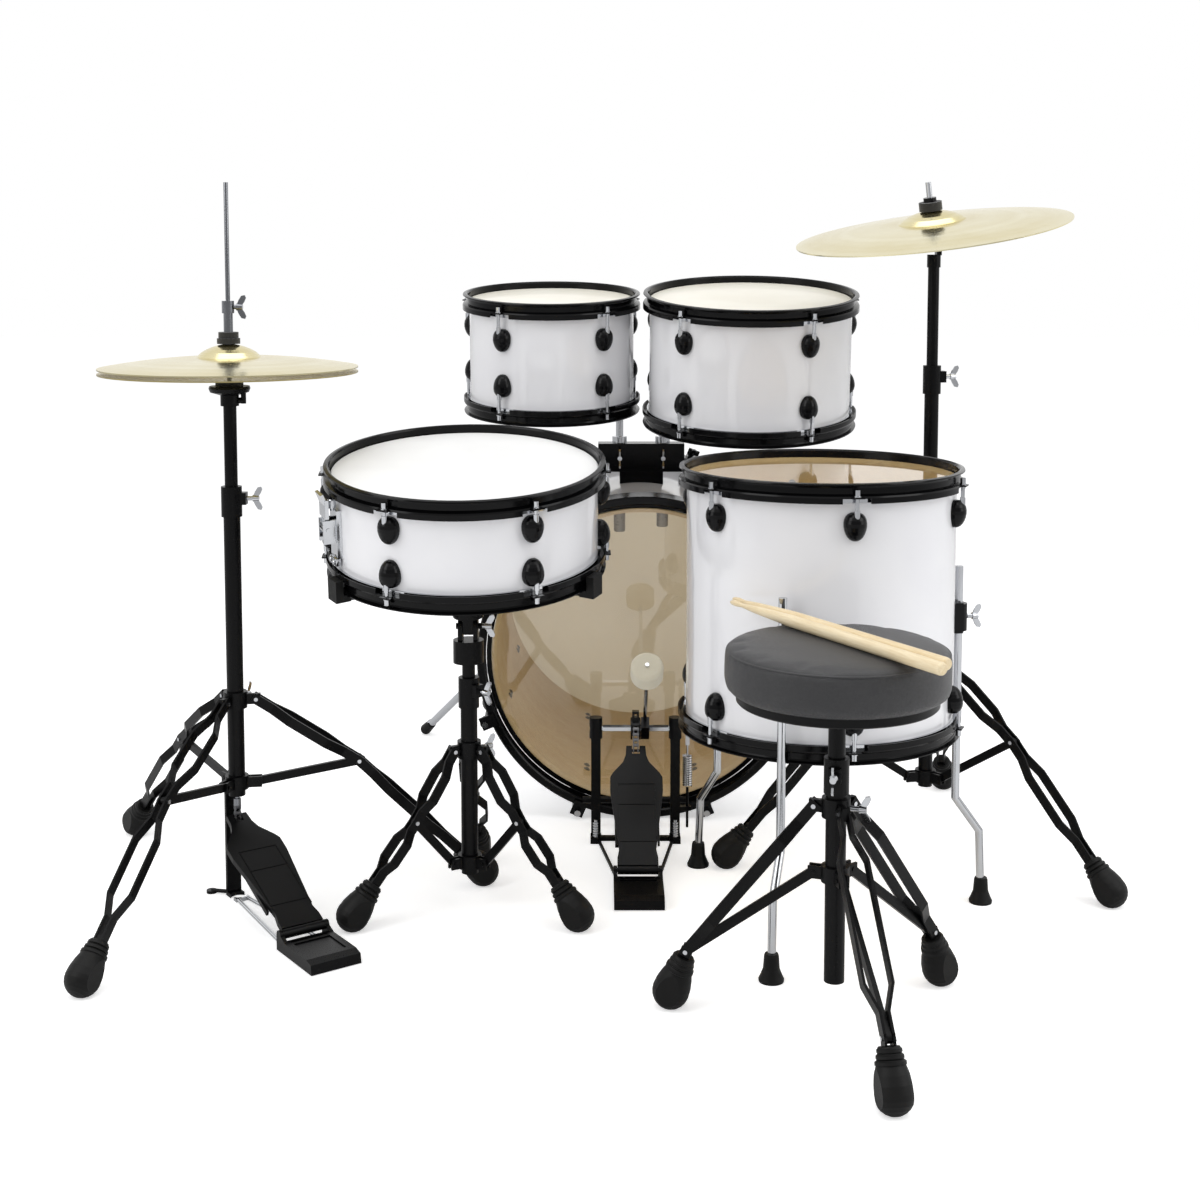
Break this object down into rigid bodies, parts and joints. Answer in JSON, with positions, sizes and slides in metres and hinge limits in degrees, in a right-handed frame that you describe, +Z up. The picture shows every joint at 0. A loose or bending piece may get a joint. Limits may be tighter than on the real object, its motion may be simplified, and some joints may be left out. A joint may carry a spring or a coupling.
{
  "type": "acoustic drum kit",
  "caption": "Acoustic drum kit on tripod stands: bass drum with pedal, mounted toms, floor tom, snare, hi-hat, crash cymbal, and a round throne with drumsticks on it",
  "frame": {"origin": "On the floor plane, on the underside of the bass pedal's base plate, in the bass drum's own vertical plane", "axes": "+X to the drummer's right, +Y from the throne towards the audience, +Z up"},
  "size_m": [1.4086, 1.4022, 0.9603],
  "materials": {
    "white_gloss": "gloss white wrap on a ply shell",
    "black_hoop": "gloss black",
    "clear_film": "thin glossy film",
    "coated_film": "coated white film",
    "cream_film": "thin cream film",
    "black_fittings": "gloss black die-castings",
    "black_steel": "satin black powder coat",
    "chrome": "polished",
    "steel_chain": "oiled",
    "black_plastic": "satin black",
    "brass": "pale lathed brass",
    "felt": "cream felt",
    "vinyl": "matt black vinyl over foam",
    "maple": "pale lacquered",
    "rubber": "matt ribbed"
  },
  "bodies": {
    "kit": {"bass_shell": "white_gloss", "bass_hoops": "black_hoop", "bass_heads": "clear_film", "bass_claws": "black_fittings", "tom_mount": "black_fittings", "floor_tom_shell": "white_gloss", "floor_tom_hoops": "black_hoop", "floor_tom_heads": "clear_film", "floor_tom_lugs": "black_fittings", "hihat_tube": "black_steel", "hihat_legs": "black_steel", "snare_tube": "black_steel", "snare_legs": "black_steel", "pedal_frame": "black_steel", "pedal_spring": "chrome", "crash_tube": "black_steel", "crash_legs": "black_steel", "throne_tube": "black_steel", "throne_legs": "black_steel", "tripod_feet": "rubber"},
    "spur_left": {"spur_left": "chrome"},
    "spur_right": {"spur_right": "chrome"},
    "tom1_arm": {"tom1_arm": "chrome"},
    "tom2_arm": {"tom2_arm": "chrome"},
    "tom1": {"tom1_shell": "white_gloss", "tom1_hoops": "black_hoop", "tom1_heads": "cream_film", "tom1_lugs": "black_fittings"},
    "tom2": {"tom2_shell": "white_gloss", "tom2_hoops": "black_hoop", "tom2_heads": "cream_film", "tom2_lugs": "black_fittings"},
    "floor_tom_leg_1": {"floor_tom_leg_1": "chrome"},
    "floor_tom_leg_2": {"floor_tom_leg_2": "chrome"},
    "floor_tom_leg_3": {"floor_tom_leg_3": "chrome"},
    "snare_post": {"snare_post": "black_steel"},
    "snare_basket": {"snare_basket": "black_steel"},
    "snare": {"snare_shell": "white_gloss", "snare_hoops": "black_hoop", "snare_heads": "coated_film", "snare_lugs": "black_fittings", "snare_strainer": "chrome"},
    "strainer_lever": {"strainer_lever": "chrome"},
    "hihat_upper": {"hihat_upper_tube": "black_steel"},
    "hihat_bottom": {"hihat_bottom_cymbal": "brass"},
    "hihat_rod": {"hihat_rod": "chrome", "hihat_top_cymbal": "brass"},
    "hihat_pedal": {"hihat_footboard": "black_plastic", "hihat_chain": "steel_chain"},
    "bass_footboard": {"pedal_footboard": "black_plastic"},
    "bass_chain": {"pedal_chain": "steel_chain"},
    "bass_beater": {"pedal_axle": "chrome", "pedal_beater": "felt"},
    "crash_post": {"crash_post": "black_steel"},
    "crash_tilter": {"crash_tilter": "chrome"},
    "crash_cymbal": {"crash_cymbal": "brass"},
    "throne_post": {"throne_post": "black_steel"},
    "throne_seat": {"throne_seat": "vinyl"},
    "drumstick_1": {"drumstick_1": "maple"},
    "drumstick_2": {"drumstick_2": "maple"}
  },
  "joints": [
    {"name": "spur_left_fold", "type": "hinge", "parent": "kit", "child": "spur_left", "pos_m": [-0.23351, 0.41103, 0.18059], "axis": [0.9397, -0.0179, 0.3416], "range_deg": [0, 60]},
    {"name": "spur_right_fold", "type": "hinge", "parent": "kit", "child": "spur_right", "pos_m": [0.23351, 0.41103, 0.18059], "axis": [0.9397, 0.0179, -0.3416], "range_deg": [0, 60]},
    {"name": "tom1_swivel", "type": "hinge", "parent": "kit", "child": "tom1_arm", "pos_m": [-0.032, 0.35066, 0.53135], "axis": [0, 0, 1], "range_deg": [-25, 0]},
    {"name": "tom2_swivel", "type": "hinge", "parent": "kit", "child": "tom2_arm", "pos_m": [0.038, 0.35066, 0.53135], "axis": [0, 0, 1], "range_deg": [0, 25]},
    {"name": "tom1_tilt", "type": "hinge", "parent": "tom1_arm", "child": "tom1", "pos_m": [-0.032, 0.35066, 0.682], "axis": [1, 0, 0], "range_deg": [-5, 8]},
    {"name": "tom2_tilt", "type": "hinge", "parent": "tom2_arm", "child": "tom2", "pos_m": [0.038, 0.35066, 0.684], "axis": [1, 0, 0], "range_deg": [-5, 8]},
    {"name": "floor_tom_leg_1_slide", "type": "slide", "parent": "kit", "child": "floor_tom_leg_1", "axis": [0, 0, 1], "range_m": [0, 0.08]},
    {"name": "floor_tom_leg_2_slide", "type": "slide", "parent": "kit", "child": "floor_tom_leg_2", "axis": [0, 0, 1], "range_m": [0, 0.08]},
    {"name": "floor_tom_leg_3_slide", "type": "slide", "parent": "kit", "child": "floor_tom_leg_3", "axis": [0, 0, 1], "range_m": [0, 0.08]},
    {"name": "snare_height", "type": "slide", "parent": "kit", "child": "snare_post", "axis": [0, 0, 1], "range_m": [0, 0.025]},
    {"name": "snare_tilt", "type": "hinge", "parent": "snare_post", "child": "snare_basket", "pos_m": [-0.236, -0.236, 0.37678], "axis": [1, 0, 0], "range_deg": [-9, 6]},
    {"name": "snare_lift_off", "type": "slide", "parent": "snare_basket", "child": "snare", "axis": [0, -0.1564, 0.9877], "range_m": [0, 0.03]},
    {"name": "throw_off", "type": "hinge", "parent": "snare", "child": "strainer_lever", "pos_m": [-0.40412, -0.33846, 0.52255], "axis": [0.4226, -0.8951, -0.1418], "range_deg": [0, 60]},
    {"name": "hihat_height", "type": "slide", "parent": "kit", "child": "hihat_upper", "axis": [0, 0, 1], "range_m": [-0.04, 0]},
    {"name": "hihat_bottom_spin", "type": "hinge", "parent": "hihat_upper", "child": "hihat_bottom", "pos_m": [-0.548, -0.208, 0.706], "axis": [0, 0, 1], "continuous": true},
    {"name": "hihat_pedal", "type": "hinge", "parent": "kit", "child": "hihat_pedal", "pos_m": [-0.43474, -0.36796, 0.021], "axis": [0.8161, 0.5779, 0], "range_deg": [-1.23, 0]},
    {"name": "hihat_pull", "type": "slide", "parent": "kit", "child": "hihat_rod", "axis": [0, 0, 1], "range_m": [-0.0043, 0], "stiffness_N_per_m": 2500, "springref_m": 0.012},
    {"name": "bass_pedal", "type": "hinge", "parent": "kit", "child": "bass_footboard", "pos_m": [-0.012, -0.16, 0.021], "axis": [1, 0, 0], "range_deg": [-9, 0]},
    {"name": "beater_swing", "type": "hinge", "parent": "kit", "child": "bass_beater", "pos_m": [-0.012, 0.02, 0.168], "axis": [-1, 0, 0], "range_deg": [0, 75], "stiffness_Nm_per_rad": 1.2, "springref_deg": -51.57},
    {"name": "pedal_chain_pivot", "type": "hinge", "parent": "bass_footboard", "child": "bass_chain", "pos_m": [-0.012, 0.0004, 0.14063], "axis": [1, 0, 0], "range_deg": [0, 29]},
    {"name": "crash_height", "type": "slide", "parent": "kit", "child": "crash_post", "axis": [0, 0, 1], "range_m": [-0.05, 0]},
    {"name": "crash_tilt", "type": "hinge", "parent": "crash_post", "child": "crash_tilter", "pos_m": [0.405, -0.021, 0.875], "axis": [1, 0, 0], "range_deg": [-10, 8]},
    {"name": "crash_spin", "type": "hinge", "parent": "crash_tilter", "child": "crash_cymbal", "pos_m": [0.39865, -0.02661, 0.92021], "axis": [-0.1381, -0.1219, 0.9829], "continuous": true},
    {"name": "throne_height", "type": "slide", "parent": "kit", "child": "throne_post", "axis": [0, 0, 1], "range_m": [0, 0.1]},
    {"name": "seat_spin", "type": "hinge", "parent": "throne_post", "child": "throne_seat", "pos_m": [0.196, -0.606, 0.384], "axis": [0, 0, 1], "continuous": true},
    {"name": "drumstick_1_lift_off", "type": "slide", "parent": "throne_post", "child": "drumstick_1", "axis": [0, 0, 1], "range_m": [0, 0.1]},
    {"name": "drumstick_2_lift_off", "type": "slide", "parent": "throne_post", "child": "drumstick_2", "axis": [0, 0, 1], "range_m": [0, 0.1]}
  ],
  "couplings": [
    {"joint": "hihat_pull", "follows": "hihat_pedal", "m_per_rad": 0.196},
    {"joint": "beater_swing", "follows": "bass_pedal", "ratio": -8.2},
    {"joint": "pedal_chain_pivot", "follows": "bass_pedal", "ratio": -3.1}
  ]
}
